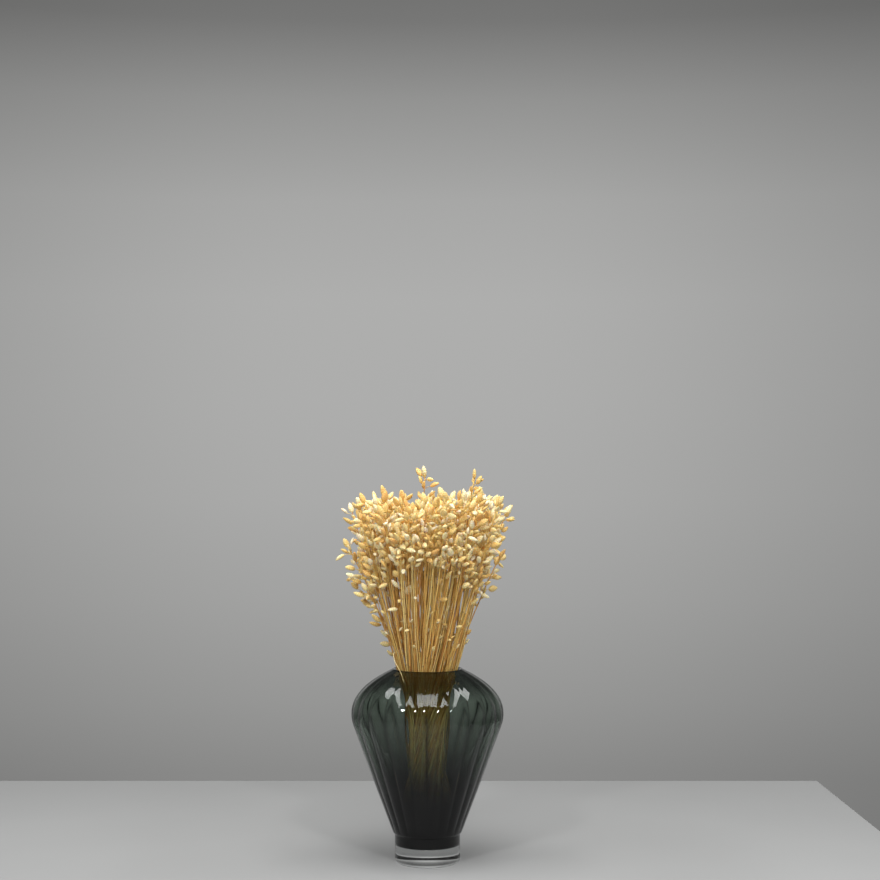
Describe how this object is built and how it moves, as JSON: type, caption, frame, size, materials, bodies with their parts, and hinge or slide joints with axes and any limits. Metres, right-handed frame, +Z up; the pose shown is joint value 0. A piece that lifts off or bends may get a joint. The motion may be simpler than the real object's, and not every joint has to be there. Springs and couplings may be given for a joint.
{
  "type": "vase of dried quaking grass",
  "caption": "Tall ribbed smoke-glass vase on a thick clear foot, holding a loose bunch of dried straw-coloured quaking grass with small flat papery heads.",
  "frame": {"origin": "middle of the underside of the glass foot, on the vase's axis", "axes": "+Z up along the vase's axis, -Y towards the side that the picture shows, +X to the right as seen from there"},
  "size_m": [0.2235, 0.203, 0.4929],
  "materials": {
    "smoke_glass": "clear, polished, grey-green smoke tint that darkens towards the foot",
    "clear_glass": "clear, polished",
    "straw": "dry, matt, papery, straw-coloured"
  },
  "bodies": {
    "root": {"clear_glass_foot": "clear_glass", "grass_spray_01": "straw", "grass_spray_02": "straw", "grass_spray_03": "straw", "grass_spray_04": "straw", "grass_spray_05": "straw", "grass_spray_06": "straw", "grass_spray_07": "straw", "grass_spray_08": "straw", "grass_spray_09": "straw", "grass_spray_10": "straw", "grass_spray_11": "straw", "grass_spray_12": "straw", "grass_spray_13": "straw", "grass_spray_14": "straw", "grass_spray_15": "straw", "grass_spray_16": "straw", "grass_spray_17": "straw", "grass_spray_18": "straw", "grass_spray_19": "straw", "grass_spray_20": "straw", "grass_spray_21": "straw", "grass_spray_22": "straw", "grass_spray_23": "straw", "grass_spray_24": "straw", "grass_spray_25": "straw", "grass_spray_26": "straw", "grass_spray_27": "straw", "grass_spray_28": "straw", "grass_spray_29": "straw", "grass_spray_30": "straw", "grass_spray_31": "straw", "grass_spray_32": "straw", "grass_spray_33": "straw", "grass_spray_34": "straw", "grass_spray_35": "straw", "grass_spray_36": "straw", "grass_spray_37": "straw", "grass_spray_38": "straw", "grass_spray_39": "straw", "grass_spray_40": "straw", "grass_spray_41": "straw", "grass_spray_42": "straw", "grass_spray_43": "straw", "grass_spray_44": "straw", "grass_spray_45": "straw", "grass_spray_46": "straw", "grass_spray_47": "straw", "grass_spray_48": "straw", "grass_spray_49": "straw", "grass_spray_50": "straw", "grass_spray_51": "straw", "grass_spray_52": "straw", "grass_spray_53": "straw", "grass_spray_54": "straw", "smoke_glass_body": "smoke_glass"}
  },
  "joints": []
}
